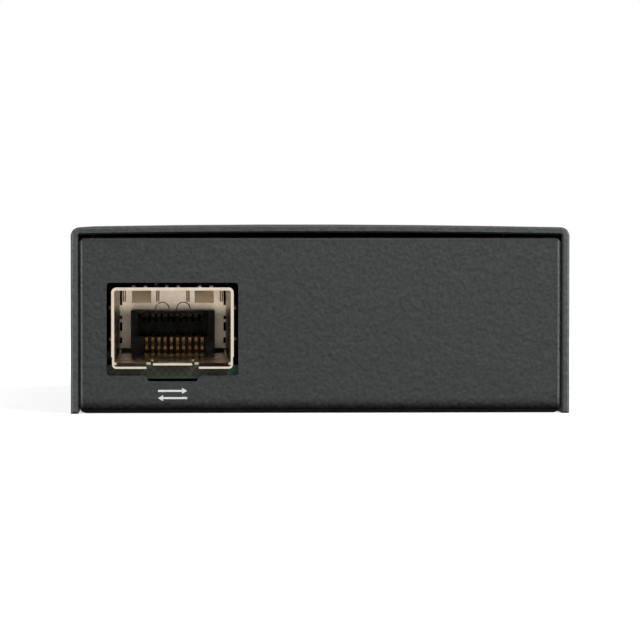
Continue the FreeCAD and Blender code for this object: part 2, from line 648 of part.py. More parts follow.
def main_board():
    """Board with its screw and post holes and the slots for the flat pins."""
    board = box(-BOARD_HALF, BOARD_HALF, BOARD_FRONT, BOARD_BACK, BOARD_BOTTOM, BOARD_TOP)
    round_holes = [(THREAD_D, STANDOFF_PLACES), (PEG_D, connector_peg_places()), (POST_D, jack_post_places())]
    holes = [post(diameter + 2 * HOLE_GAP, place, BOARD_BOTTOM - 1, BOARD_TOP + 1)
             for diameter, places in round_holes for place in places]
    holes += [board_slot(place, CAGE_SHEET, CAGE_PIN_WIDTH) for place in cage_pin_places()]
    holes += [board_slot(place, JACK_SHEET, JACK_TAB_WIDTH) for place in jack_tab_places()]
    holes += [board_slot(place, BLADE_WIDTH, BLADE_SHEET) for place in blade_places()]
    return board.cut(holes)


# --- SFP cage and its spring collar ----------------------------------------------------------
def cage_space(bottom, grow, y0, y1):
    """Inside of the cage from bottom up, grown outwards all round."""
    half = CAGE_INNER_WIDTH / 2 + grow
    radius = CAGE_CORNER - CAGE_SHEET + grow
    top = CAGE_TOP - CAGE_SHEET + grow
    return front_bar(PORT_X - half, PORT_X + half, bottom - grow, top, radius, y0, y1)


def cage_tube(underside, y0, y1):
    """Length of the cage's folded tube."""
    bottom = underside + CAGE_SHEET
    return cage_space(bottom, CAGE_SHEET, y0, y1).cut(cage_space(bottom, 0, y0 - 1, y1 + 1))


def latch_tongue():
    """Latch spring in the cage's floor, with its window."""
    front = CAGE_FRONT + CAGE_SHEET
    tongue = block(PORT_X, front + TONGUE_LENGTH / 2, BOARD_TOP, TONGUE_WIDTH, TONGUE_LENGTH + 1, CAGE_SHEET)
    tongue = tongue.cut(box(-WIDTH, WIDTH, -DEPTH, front, 0, HEIGHT))
    return tongue.cut(block(PORT_X, front + 1.2 * LATCH_WINDOW, BOARD_TOP - 1, LATCH_WINDOW, LATCH_WINDOW, 3))


def tongue_spaces():
    """Open floor round the tongue: a wide gap at its front and a slit along each side."""
    gap, length = LATCH_GAP_WIDTH / 2, CAGE_FRONT + LATCH_GAP_LENGTH
    spaces = [box(PORT_X - gap, PORT_X + gap, CAGE_FRONT - 1, length, BOARD_TOP - 2 * LIP_DROP,
                  BOARD_TOP + CAGE_SHEET)]
    for side in (-1, 1):
        inner = side * TONGUE_WIDTH / 2
        spaces.append(box(PORT_X + inner, PORT_X + inner + side * TONGUE_SLIT, length - 1,
                          CAGE_FRONT + TONGUE_LENGTH, BOARD_TOP - 1, BOARD_TOP + CAGE_SHEET))
    return spaces


def kick_slit(x, sill):
    """Arched slit round a kick-out tab in the back wall."""
    head = sill + KICK_RISE
    arches = []
    for half, top in ((KICK_WIDTH / 2, head), (KICK_WIDTH / 2 - KICK_SLIT, head - KICK_SLIT)):
        rise = [(half, top - half), (0.8 * half, top - 0.4 * half), (0.4 * half, top - 0.08 * half)]
        arch = rise + [(0, top)] + [(-across, level) for across, level in rise[::-1]]
        arches.append(outline_prism([(x + across, level) for across, level in arch], [0] * len(arch),
                                    TO_FRONT, -CAGE_BACK - 1, 2 * CAGE_SHEET - CAGE_BACK))
    return arches[0].cut(arches[1])


def back_wall():
    """Rear of the cage: two windows with bent tabs, kick-out tabs and upright ridges."""
    y0, y1 = CAGE_BACK - CAGE_SHEET, CAGE_BACK
    wall = box(PORT_X - CAGE_HALF, PORT_X + CAGE_HALF, y0, y1, BOARD_TOP + BACK_FOOT, CAGE_TOP)
    sill, head = BOARD_TOP + BACK_SILL, CAGE_TOP - 2 * CAGE_SHEET
    cuts, added = [], []
    for side in (-1, 1):
        inner, outer = sorted(PORT_X + side * x for x in (BACK_WINDOW_INNER, BACK_WINDOW_OUTER))
        cuts.append(box(inner, outer, y0 - 1, y1 + 1, sill, head))
        added.append(folded([(y1, sill - CAGE_SHEET), (y1, sill), (y1 + WINDOW_LEAN, head)], CAGE_SHEET, 0,
                            TO_SIDE, inner + CLEARANCE, outer - CLEARANCE))
        cuts.append(kick_slit(PORT_X + side * KICK_OFFSET, sill))
        added += [post(RIDGE_D, (PORT_X + side * x, y0), sill + KICK_RISE, head) for x in RIDGE_OFFSETS]
    return wall.cut(cuts).multiFuse(added)


def corner_slits():
    """Slits between the cage's rear and its side walls, left open between the tabs."""
    levels = [(0.12, 0.20), (0.295, 0.42), (0.465, 0.51), (0.665, 0.95)]    # shares of the cage's height
    edge = CAGE_INNER_WIDTH / 2
    return [box(PORT_X + side * (edge - CORNER_SLIT), PORT_X + side * edge, CAGE_BACK - 2 * CAGE_SHEET,
                CAGE_BACK + 1, BOARD_TOP + low * CAGE_HEIGHT, BOARD_TOP + high * CAGE_HEIGHT)
            for side in (-1, 1) for low, high in levels]


def sfp_cage():
    """Folded cage: mouth with dropped lower lips, tube, rear, latch tongue and board pins."""
    half, lip_bottom, lip_back = CAGE_HALF - CAGE_CORNER, BOARD_TOP - LIP_DROP, CAGE_FRONT + LIP_LENGTH
    ramp = folded([(lip_back - CAGE_SHEET, lip_bottom), (lip_back, lip_bottom), (LIP_BACK, BOARD_TOP),
                   (LIP_BACK + CAGE_SHEET, BOARD_TOP)], CAGE_SHEET, 0, TO_SIDE, PORT_X - half, PORT_X + half)
    ramp_space = box(PORT_X - half, PORT_X + half, lip_back, LIP_BACK + 1, 0, lip_bottom + 1.2 * CAGE_SHEET)
    mouth = cage_tube(lip_bottom, CAGE_FRONT, LIP_BACK).cut(ramp_space)
    tube = joined([cage_tube(BOARD_TOP, LIP_BACK, CAGE_BACK), mouth, ramp])
    clear = CAGE_INNER_WIDTH / 2 - CAGE_SHEET
    connector_gap = box(PORT_X - clear, PORT_X + clear, CONNECTOR_FRONT - 2, CAGE_BACK + 1,
                        BOARD_TOP - 1, BOARD_TOP + CAGE_SHEET)
    tube = tube.cut(tongue_spaces() + [connector_gap])
    pins = [block(*place, BOARD_TOP - LEAD_REACH, CAGE_SHEET, CAGE_PIN_WIDTH, LEAD_REACH + CAGE_CORNER)
            for place in cage_pin_places()]
    return joined([tube, latch_tongue(), back_wall()] + pins).cut(corner_slits())


def sfp_emi_collar():
    """Thin band round the cage's mouth with bowed grounding fingers on three sides."""
    front = CAGE_FRONT + CAGE_PROUD + COLLAR_SHEET
    back = front + COLLAR_LENGTH
    inside = BOARD_TOP + CAGE_SHEET
    band = cage_space(inside, CAGE_SHEET + COLLAR_SHEET, front, back)
    band = band.cut([cage_space(inside, CAGE_SHEET, front - 1, back + 1),
                     block(PORT_X, front, 0, 4 * CAGE_HALF, 3 * COLLAR_LENGTH, BOARD_TOP + 2 * CAGE_CORNER)])
    pieces = [band]
    for middle in spaced(3, FINGER_PITCH):
        for offset in spaced(2, FINGER_PAIR):
            finger = spring_finger(FINGER_LENGTH, FINGER_WIDTH, FINGER_BOW)
            finger.translate(V(PORT_X + middle + offset, back, CAGE_TOP))
            pieces.append(finger)
    for level in SIDE_FINGER_LEVELS:
        finger = on_right_side(spring_finger(FINGER_LENGTH, FINGER_WIDTH, FINGER_BOW),
                               V(PORT_X + CAGE_HALF, back, BOARD_TOP + level))
        pieces += [finger, mirrored(finger, PORT_X)]
    return joined(pieces)


# --- SFP connector ---------------------------------------------------------------------------
def sfp_connector():
    """Black moulded body with the card slot, the stepped mouth and the open lower front."""
    half, slot = CONNECTOR_HALF, CARD_SLOT_HALF
    jaw, ceiling = BOARD_TOP + JAW_HEIGHT, CONNECTOR_TOP - CEILING
    front, back = CONNECTOR_FRONT, CONNECTOR_BACK
    body = box(PORT_X - half, PORT_X + half, front, back, BOARD_TOP, CONNECTOR_TOP)
    card_slot = box(PORT_X - slot, PORT_X + slot, front - 1, front + CARD_SLOT_DEPTH, jaw, ceiling)
    shoulder = (jaw + ceiling) / 2
    corners = [(PORT_X - half - 1, jaw), (PORT_X + half + 1, jaw), (PORT_X + half + 1, shoulder),
               (PORT_X + slot, shoulder + CEILING), (PORT_X - slot, shoulder + CEILING),
               (PORT_X - half - 1, shoulder)]
    mouth = outline_prism(corners, [CLEARANCE] * 6, TO_FRONT, -front - MOUTH_DEPTH, -front + 1)
    row = CONTACT_COUNT * CONTACT_PITCH / 2
    lower = PORT_X + ROW_SHIFT
    leg_space = box(lower - row, lower + row, front - 1, front + LEG_ROOM, BOARD_TOP - 1, jaw + CLEARANCE)
    upper = PORT_X - ROW_SHIFT
    channel = box(upper - row, upper + row, front + MOUTH_DEPTH, back + 1, ceiling - 0.5, ceiling)
    pegs = [post(PEG_D, place, BOARD_BOTTOM, BOARD_TOP + 1) for place in connector_peg_places()]
    return joined([body.cut([card_slot, mouth, leg_space, channel])] + pegs)


def contact_row(corners, middle):
    """Equal stamped contacts side by side."""
    half = CONTACT_WIDTH / 2
    return Part.makeCompound([folded(corners, CONTACT_SHEET, 0, TO_SIDE, middle + x - half, middle + x + half)
                              for x in spaced(CONTACT_COUNT, CONTACT_PITCH)])


def sfp_contacts_lower():
    """Tail on the board ahead of the body, kneed leg up its open front, spring over the jaw."""
    front, seat = CONNECTOR_FRONT, BOARD_TOP + JAW_HEIGHT + CLEARANCE
    leg = front + LEG_ROOM * 0.56
    corners = [(front - TAIL_LENGTH, BOARD_TOP), (leg - LEG_KNEE, BOARD_TOP),
               (leg, BOARD_TOP + 1.5 * LEG_KNEE), (leg - LEG_KNEE, seat - 0.6 * LEG_KNEE), (leg, seat),
               (leg + LOWER_CREST, seat + LOWER_RISE), (leg + LOWER_END, seat)]
    return contact_row(corners, PORT_X + ROW_SHIFT)


def sfp_contacts_upper():
    """Spring under the ceiling of the slot, out at the rear and down to the board."""
    run = CONNECTOR_TOP - CEILING - 2 * CONTACT_SHEET
    outside = CONNECTOR_BACK + 0.7
    corners = [(CONNECTOR_FRONT + UPPER_START, run - 0.1), (CONNECTOR_FRONT + UPPER_CREST, run - 0.75),
               (CONNECTOR_FRONT + UPPER_ROOT, run), (outside, run), (outside, BOARD_TOP),
               (outside + 2 * TAIL_LENGTH, BOARD_TOP)]
    return contact_row(corners, PORT_X - ROW_SHIFT)


# --- Copper port -----------------------------------------------------------------------------
def plug_space(grow, y0, y1):
    """Space for the plug: body, latch and key steps."""
    spans = [(PLUG_WIDTH, PLUG_SILL, PLUG_TOP), (LATCH_WIDTH, PLUG_SILL - LATCH_HEIGHT, PLUG_SILL + 1),
             (KEY_WIDTH, PLUG_SILL - LATCH_HEIGHT - KEY_HEIGHT, PLUG_SILL + 1)]
    return joined([box(JACK_X - width / 2 - grow, JACK_X + width / 2 + grow, y0, y1, z0 - grow, z1 + grow)
                   for width, z0, z1 in spans])


def light_spaces(grow, y0, y1):
    half = LIGHT_WIDTH / 2 + grow
    return [box(JACK_X + x - half, JACK_X + x + half, y0, y1, LIGHT_Z - grow, LIGHT_Z + LIGHT_HEIGHT + grow)
            for x in (-LIGHT_X, LIGHT_X)]


def jack_box(inset, floor_z):
    half = JACK_HALF - inset
    return box(JACK_X - half, JACK_X + half, JACK_BACK + inset, JACK_FRONT - inset, floor_z, JACK_TOP - inset)


def rj45_shield():
    """Folded shield, open at the rear, with springs behind the panel and two board tabs."""
    windows = [plug_space(CLEARANCE, JACK_FRONT - 1, JACK_FRONT + 1)]
    windows += light_spaces(CLEARANCE, JACK_FRONT - 1, JACK_FRONT + 1)
    half = JACK_HALF - JACK_SHEET
    inside = box(JACK_X - half, JACK_X + half, JACK_BACK - 1, JACK_FRONT - JACK_SHEET,
                 0, JACK_TOP - JACK_SHEET)
    shell = jack_box(0, BOARD_TOP).cut([inside] + windows)
    spring = spring_finger(FINGER_LENGTH, JACK_SPRING_WIDTH, JACK_SPRING_BOW)
    spring.rotate(V(0, 0, 0), V(0, 0, 1), 180)
    root = V(JACK_X + JACK_HALF, PANEL_BACK - COLLAR_LENGTH, BOARD_TOP + JACK_SPRING_LEVEL)
    spring = on_right_side(spring, root)
    tabs = [block(*place, BOARD_TOP - LEAD_REACH, JACK_SHEET, JACK_TAB_WIDTH, LEAD_REACH + JACK_FLOOR)
            for place in jack_tab_places()]
    return joined([shell, spring, mirrored(spring, JACK_X)] + tabs)


def rj45_housing():
    """Moulded insulator with the stepped plug space and two locating posts."""
    body = jack_box(JACK_SHEET + CLEARANCE, BOARD_TOP)
    lights = light_spaces(CLEARANCE, JACK_FRONT - LIGHT_LENGTH - CLEARANCE, JACK_FRONT + 1)
    body = body.cut([plug_space(0, JACK_FRONT - PLUG_DEPTH, JACK_FRONT + 1)] + lights)
    posts = [post(POST_D, place, BOARD_TOP - LEAD_REACH, BOARD_TOP + 1) for place in jack_post_places()]
    return joined([body] + posts)


def rj45_contacts():
    """Eight spring wires: forward under the ceiling, then folded back down into the plug space."""
    level = PLUG_TOP - CLEARANCE - WIRE_D
    corners = [(JACK_FRONT - PLUG_DEPTH, level), (JACK_FRONT - 3.0, level),
               (JACK_FRONT - 0.75 * PLUG_DEPTH, level - WIRE_FALL)]
    half = WIRE_D / 2
    return Part.makeCompound([folded(corners, WIRE_D, 0, TO_SIDE, JACK_X + x - half, JACK_X + x + half)
                              for x in spaced(WIRE_COUNT, WIRE_PITCH)])


def rj45_lights():
    return Part.makeCompound(light_spaces(0, JACK_FRONT - LIGHT_LENGTH, JACK_FRONT))


# --- Power inlet -----------------------------------------------------------------------------
def dc_jack_housing():
    """Moulded body with the plug bore and a slot for the sleeve terminal."""
    body = front_bar(INLET_X - INLET_HALF, INLET_X + INLET_HALF, BOARD_TOP, INLET_Z + INLET_HALF, 0.8,
                     INLET_BACK, INLET_FRONT)
    bore = rod(INLET_BORE_D, V(INLET_X, INLET_FRONT - INLET_BORE_DEPTH, INLET_Z),
               V(INLET_X, INLET_FRONT + 1, INLET_Z))
    pin_hole = rod(INLET_PIN_D + 2 * CLEARANCE, V(INLET_X, INLET_BACK - 1, INLET_Z),
                   V(INLET_X, INLET_FRONT, INLET_Z))
    slot = block(*blade_places()[1], BOARD_TOP - 1, BLADE_WIDTH + 2 * CLEARANCE, 2 * BLADE_SHEET,
                 INLET_BORE_Z)
    return body.cut([bore, pin_hole, slot])


def dc_jack_pin():
    """Centre pin with its rear blade down through the board."""
    tip = INLET_FRONT - INLET_BORE_DEPTH + INLET_PIN_LENGTH
    pin = rod(INLET_PIN_D, V(INLET_X, INLET_BACK - BLADE_SHEET, INLET_Z), V(INLET_X, tip, INLET_Z))
    pin = pin.makeChamfer(INLET_PIN_D * 0.2, end_edges(pin, tip))
    reach = INLET_BORE_Z + INLET_PIN_D
    blade = block(*blade_places()[0], BOARD_TOP - LEAD_REACH, BLADE_WIDTH, BLADE_SHEET, LEAD_REACH + reach)
    return pin.fuse(blade).removeSplitter()


def dc_jack_spring():
    """Sleeve terminal: a blade from the bore's lower side down through the board."""
    reach = INLET_BORE_Z - INLET_BORE_D / 2 - CLEARANCE
    return block(*blade_places()[1], BOARD_TOP - LEAD_REACH, BLADE_WIDTH, BLADE_SHEET, LEAD_REACH + reach)


# --- Indicators ------------------------------------------------------------------------------
def lamp_holder():
    """Moulded holder on the board behind the rear panel, one bore for each lamp."""
    half = (LAMP_PITCH + LAMP_D) / 2 + HOLDER_WALL
    back = BOARD_BACK - HOLDER_LENGTH
    top = LAMP_LEVEL + LAMP_D / 2 + HOLDER_WALL
    body = box(LAMP_X - half, LAMP_X + half, back, BOARD_BACK, BOARD_TOP, top)
    return body.cut([rod(LAMP_D + 2 * CLEARANCE, V(LAMP_X + x, back + HOLDER_WALL, LAMP_LEVEL),
                         V(LAMP_X + x, BOARD_BACK + 1, LAMP_LEVEL)) for x in spaced(2, LAMP_PITCH)])


def lamp_lenses():
    """Clear lenses with a bevelled nose, just proud of the rear panel."""
    lenses = []
    back, tip = BOARD_BACK - HOLDER_LENGTH + HOLDER_WALL, PANEL_FACE + LAMP_PROUD
    for x in spaced(2, LAMP_PITCH):
        lens = rod(LAMP_D, V(LAMP_X + x, back, LAMP_LEVEL), V(LAMP_X + x, tip, LAMP_LEVEL))
        lenses.append(lens.makeChamfer(LAMP_D * 0.15, end_edges(lens, tip)))
    return Part.makeCompound(lenses)


# --- Board parts -----------------------------------------------------------------------------
def on_board(place):
    """Place given from the middle of the open board, in the housing's frame."""
    return OPEN_X + place[0], OPEN_Y + place[1]


def package(place, size):
    """Moulded package on the board with bevelled upper edges."""
    length, width, height = size
    body = block(*on_board(place), BOARD_TOP + CLEARANCE, length, width, height - CLEARANCE)
    return body.makeChamfer(height * 0.15, edges_above(body, BOARD_TOP + height))


def gull_leads(place, size, count):
    """Gull-wing leads on the two long sides of a package."""
    x, y = on_board(place)
    side, level = y + size[1] / 2, BOARD_TOP + size[2] * 0.4
    corners = [(side, level), (side + 0.45, level), (side + 0.65, BOARD_TOP), (side + 1.15, BOARD_TOP)]
    leads = []
    for offset in spaced(count, LEAD_PITCH):
        left = x + offset - LEAD_WIDTH / 2
        lead = folded(corners, LEAD_SHEET, 0, TO_SIDE, left, left + LEAD_WIDTH)
        leads += [lead, lead.mirror(V(0, y, 0), V(0, 1, 0))]
    return leads


def converter_chip():
    return package(CHIP_PLACE, CHIP_SIZE)


def memory_chip():
    return package(MEMORY_PLACE, SMALL_CHIP_SIZE)


def regulator_chip():
    return package(REGULATOR_PLACE, SMALL_CHIP_SIZE)


def chip_leads():
    return Part.makeCompound(gull_leads(MEMORY_PLACE, SMALL_CHIP_SIZE, 4)
                             + gull_leads(REGULATOR_PLACE, SMALL_CHIP_SIZE, 4))


def magnetics_module():
    return package(MAGNETICS_PLACE, MAGNETICS_SIZE)


def magnetics_leads():
    return Part.makeCompound(gull_leads(MAGNETICS_PLACE, MAGNETICS_SIZE, 8))


def crystal():
    """Round-ended metal can on its seam flange."""
    x, y = on_board(CRYSTAL_PLACE)
    length, width, height = CRYSTAL_SIZE
    flange = block(x, y, BOARD_TOP, length, width, CRYSTAL_FLANGE)
    can = block(x, y, BOARD_TOP + CRYSTAL_FLANGE, length - 2 * CRYSTAL_FLANGE, width - 2 * CRYSTAL_FLANGE,
                height - CRYSTAL_FLANGE)
    flange = flange.makeFillet(width * 0.48, upright_edges(flange, CRYSTAL_FLANGE))
    can = can.makeFillet(width * 0.48 - CRYSTAL_FLANGE, upright_edges(can, height - CRYSTAL_FLANGE))
    return joined([flange, can])


def electrolytic_cans():
    cans = []
    for place in CAN_PLACES:
        can = post(CAN_D, on_board(place), BOARD_TOP + CAN_BASE_HEIGHT, BOARD_TOP + CAN_HEIGHT)
        cans.append(can.makeChamfer(CAN_D * 0.06, edges_above(can, BOARD_TOP + CAN_HEIGHT)))
    return Part.makeCompound(cans)


def electrolytic_bases():
    """Square plastic feet with two cut corners."""
    bases = []
    for place in CAN_PLACES:
        x, y = on_board(place)
        base = block(x, y, BOARD_TOP, CAN_BASE, CAN_BASE, CAN_BASE_HEIGHT)
        corners = [edge for edge in upright_edges(base, CAN_BASE_HEIGHT) if edge.BoundBox.XMin > x]
        bases.append(base.makeChamfer(CAN_BASE_HEIGHT, corners))
    return Part.makeCompound(bases)


def power_inductor():
    """Shielded inductor: bevelled block with the ring gap round its core."""
    place = on_board(INDUCTOR_PLACE)
    width, height = INDUCTOR_SIZE[0], INDUCTOR_SIZE[2]
    body = block(*place, BOARD_TOP, *INDUCTOR_SIZE)
    body = body.makeChamfer(width * 0.2, upright_edges(body, height))
    top = BOARD_TOP + height
    ring = post(width * 0.8, place, top - height * 0.1, top + 1)
    core = post(width * 0.68, place, top - height * 0.1, top + 1)
    return body.cut(ring.cut(core))


def ceramic_capacitors():
    return Part.makeCompound([block(*on_board(place), BOARD_TOP, *CAPACITOR_SIZE)
                              for place in CAPACITOR_PLACES])


def chip_resistors():
    return Part.makeCompound([block(*on_board(place), BOARD_TOP, *RESISTOR_SIZE)
                              for place in RESISTOR_PLACES])


PIECES = [
    chassis, top_cover, cover_screws, board_standoffs, board_screws, main_board,
    sfp_cage, sfp_emi_collar, sfp_connector, sfp_contacts_lower, sfp_contacts_upper,
    rj45_shield, rj45_housing, rj45_contacts, rj45_lights,
    dc_jack_housing, dc_jack_pin, dc_jack_spring, lamp_holder, lamp_lenses,
    converter_chip, memory_chip, regulator_chip, chip_leads, magnetics_module, magnetics_leads,
    crystal, electrolytic_cans, electrolytic_bases, power_inductor, ceramic_capacitors, chip_resistors,
]

os.makedirs("parts", exist_ok=True)
for piece in PIECES:
    piece().exportStep("parts/" + piece.__name__ + ".step")
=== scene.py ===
"""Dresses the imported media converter: finishes, small visible details, a plain white set and the camera."""
import json
import bmesh
import bpy
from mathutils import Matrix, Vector


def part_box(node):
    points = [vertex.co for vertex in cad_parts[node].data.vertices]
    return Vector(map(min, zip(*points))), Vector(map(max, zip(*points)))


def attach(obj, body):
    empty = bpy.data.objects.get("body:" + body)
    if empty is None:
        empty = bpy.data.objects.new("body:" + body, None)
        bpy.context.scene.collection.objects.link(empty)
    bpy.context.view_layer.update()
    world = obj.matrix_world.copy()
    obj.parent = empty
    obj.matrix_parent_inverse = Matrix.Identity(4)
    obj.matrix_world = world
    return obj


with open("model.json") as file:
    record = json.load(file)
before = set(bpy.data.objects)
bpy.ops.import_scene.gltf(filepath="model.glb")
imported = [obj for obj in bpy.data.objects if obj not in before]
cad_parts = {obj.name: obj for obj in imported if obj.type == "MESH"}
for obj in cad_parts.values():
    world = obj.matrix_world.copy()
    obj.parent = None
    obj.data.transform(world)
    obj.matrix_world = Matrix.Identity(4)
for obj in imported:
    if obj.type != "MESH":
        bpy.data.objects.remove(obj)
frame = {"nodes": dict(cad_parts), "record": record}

MM = 0.001
MOST_NOISE = (0.3, 0.7)     # nearly all of a noise's values lie between these
NODES = frame["nodes"]


def write_size():
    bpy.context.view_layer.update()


write_size()


# --- Arithmetic on sockets and plain numbers -------------------------------------------------
def node(tree, kind, **settings):
    """New shader node with the given properties."""
    made = tree.nodes.new(kind)
    for name, value in settings.items():
        setattr(made, name, value)
    return made


def math_node(tree, operation, first, second=None):
    """Result of one operation on sockets or plain numbers."""
    made = node(tree, "ShaderNodeMath", operation=operation)
    for place, value in enumerate((first, second)):
        if isinstance(value, (int, float)):
            made.inputs[place].default_value = value
        elif value is not None:
            tree.links.new(value, made.inputs[place])
    return made.outputs[0]


def total(tree, first, *others):
    for other in others:
        first = math_node(tree, "ADD", first, other)
    return first


def product(tree, first, *others):
    for other in others:
        first = math_node(tree, "MULTIPLY", first, other)
    return first


def difference(tree, first, second):
    return math_node(tree, "SUBTRACT", first, second)


def magnitude(tree, value):
    return math_node(tree, "ABSOLUTE", value)


def above(tree, value, limit):
    """1 where the value is over the limit, else 0."""
    return math_node(tree, "GREATER_THAN", value, limit)


def below(tree, value, limit):
    """1 where the value is under the limit, else 0."""
    return math_node(tree, "LESS_THAN", value, limit)


def ranged(tree, value, given, wanted):
    """Number that runs from wanted[0] to wanted[1] as value runs from given[0] to given[1]."""
    made = node(tree, "ShaderNodeMapRange")
    for name, limit in zip(("From Min", "From Max", "To Min", "To Max"), (*given, *wanted)):
        made.inputs[name].default_value = limit
    tree.links.new(value, made.inputs["Value"])
    return made.outputs["Result"]


# --- Patterns and colours --------------------------------------------------------------------
def place_in(tree, kind="Object"):
    """x, y and z of the shaded point in the row's frame, or in the world the ray's direction."""
    place = node(tree, "ShaderNodeTexCoord")
    parts = node(tree, "ShaderNodeSeparateXYZ")
    tree.links.new(place.outputs[kind], parts.inputs[0])
    return parts.outputs[0], parts.outputs[1], parts.outputs[2]


def noise(tree, grain, detail=3.0, stretch=(1, 1, 1)):
    """Noise from 0 to 1, of grain millimetres; a stretch under 1 draws it out along that axis."""
    place = node(tree, "ShaderNodeTexCoord")
    scale = node(tree, "ShaderNodeMapping")
    scale.inputs["Scale"].default_value = stretch
    texture = node(tree, "ShaderNodeTexNoise")
    texture.inputs["Scale"].default_value = 1 / (grain * MM)
    texture.inputs["Detail"].default_value = detail
    tree.links.new(place.outputs["Object"], scale.inputs["Vector"])
    tree.links.new(scale.outputs["Vector"], texture.inputs["Vector"])
    return texture.outputs["Fac"]


def blend(tree, factor, low, high, given=MOST_NOISE):
    """Colour that runs from low to high as factor runs from given[0] to given[1]."""
    ramp = node(tree, "ShaderNodeValToRGB")
    for stop, place, colour in zip(ramp.color_ramp.elements, given, (low, high)):
        stop.position = place
        stop.color = (*colour, 1)
    tree.links.new(factor, ramp.inputs["Fac"])
    return ramp.outputs["Color"]


def choose(tree, factor, first, second):
    """first where factor is 0 and second where it is 1; both are colour sockets."""
    mix = node(tree, "ShaderNodeMix", data_type="RGBA")
    tree.links.new(factor, mix.inputs["Factor"])
    tree.links.new(first, mix.inputs["A"])
    tree.links.new(second, mix.inputs["B"])
    return mix.outputs["Result"]


def scaled(tree, vector, share):
    """The colour or vector times that share."""
    made = node(tree, "ShaderNodeVectorMath", operation="SCALE")
    tree.links.new(vector, made.inputs[0])
    tree.links.new(share, made.inputs["Scale"])
    return made.outputs[0]


def relief(tree, height, depth):
    """Bumps depth millimetres high, for the Principled shader's normal."""
    bump = node(tree, "ShaderNodeBump")
    bump.inputs["Distance"].default_value = depth * MM
    tree.links.new(height, bump.inputs["Height"])
    return bump.outputs["Normal"]


def surface(name, low, high, grain, roughness, metal=0.0, bump=0.0, gloss=0.5, stretch=(1, 1, 1)):
    """Grainy material: its colour and roughness vary between two values, over bumps bump mm high."""
    sheen_grain = 6 * grain
    material = bpy.data.materials.new(name)
    material.use_nodes = True
    tree = material.node_tree
    shader = tree.nodes["Principled BSDF"]
    shader.inputs["Metallic"].default_value = metal
    shader.inputs["Specular IOR Level"].default_value = gloss
    pattern = noise(tree, grain, stretch=stretch)
    tree.links.new(blend(tree, pattern, low, high), shader.inputs["Base Color"])
    sheen = ranged(tree, noise(tree, sheen_grain), MOST_NOISE, roughness)
    tree.links.new(sheen, shader.inputs["Roughness"])
    if bump:
        tree.links.new(relief(tree, pattern, bump), shader.inputs["Normal"])
    return material


def opened(material):
    """Node tree, shader and colour socket of a material from surface(), for more work on it."""
    tree = material.node_tree
    shader = tree.nodes["Principled BSDF"]
    return tree, shader, shader.inputs["Base Color"].links[0].from_socket


# --- Finishes --------------------------------------------------------------------------------
def painted_edge_light_and_fold_shade(tree, coat):
    """The coat with painted highlights on the cover's ends and corners and the panels' upright edges, and
    painted shade at the fold.
    """
    cover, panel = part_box("top_cover")[1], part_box("chassis")[1]
    face_depth, cut_depth, slack = 0.3 * MM, 0.1 * MM, 0.05 * MM
    upright_width, corner_width, cover_depth = 0.38 * MM, 0.26 * MM, 1.4 * MM
    upright_highlight_gain, corner_highlight_gain, end_highlight_gain, side_highlight_gain = 1.7, 1.5, 0.3, 0.25
    fold, fold_shade, raggedness, clear_of_fold = (0.2 * MM, 1.9 * MM), 0.12, 1.2 * MM, 5 * MM
    mottle = (0.97, 1.03)

    x, y, z = place_in(tree)
    side, end = magnitude(tree, x), magnitude(tree, y)
    face = above(tree, end, panel.y - face_depth)
    on_panel = below(tree, side, panel.x + slack)
    on_side = above(tree, side, panel.x + slack)
    upright = product(tree, above(tree, side, panel.x - upright_width), on_panel,
                      below(tree, z, cover.z - cover_depth), face, upright_highlight_gain)
    corner = product(tree, above(tree, side, cover.x - corner_width), face, corner_highlight_gain)
    cut_end_highlight = product(tree, above(tree, end, cover.y - cut_depth),
                      total(tree, product(tree, on_side, side_highlight_gain), end_highlight_gain))
    # painted highlights: the cover's cut ends, its corners and the panels' upright edges are drawn paler than
    # the coat
    painted_highlight = total(tree, cut_end_highlight, upright, corner, 1.0)

    # painted shade: the coat darkens towards the bottom fold, under a ragged border; the mottle is random
    # tone
    ragged = product(tree, difference(tree, noise(tree, 0.5), 0.5), raggedness)
    off_panel = difference(tree, 1.0, product(tree, face, on_panel))
    height = total(tree, z, ragged, product(tree, off_panel, clear_of_fold))
    share = product(tree, painted_highlight, ranged(tree, height, fold, (fold_shade, 1.0)),
                    ranged(tree, noise(tree, 2.4, detail=1.0), MOST_NOISE, mottle))
    return scaled(tree, coat, share)


def powder_coat():
    """Charcoal powder coat: fine speckle over a faint orange peel."""
    peel_share, depth = 5.0, 0.022
    material = surface("powder coat", (0.044, 0.047, 0.047), (0.062, 0.066, 0.066), 0.45, (0.5, 0.62),
                       gloss=0.015)
    tree, shader, coat = opened(material)
    speckle, peel = noise(tree, 0.4), noise(tree, 0.8, detail=1.0)
    height = total(tree, speckle, product(tree, peel, peel_share))
    tree.links.new(relief(tree, height, depth), shader.inputs["Normal"])
    # the coat carries painted highlights on its edges and painted shade at the fold
    tree.links.new(painted_edge_light_and_fold_shade(tree, coat), shader.inputs["Base Color"])
    return material


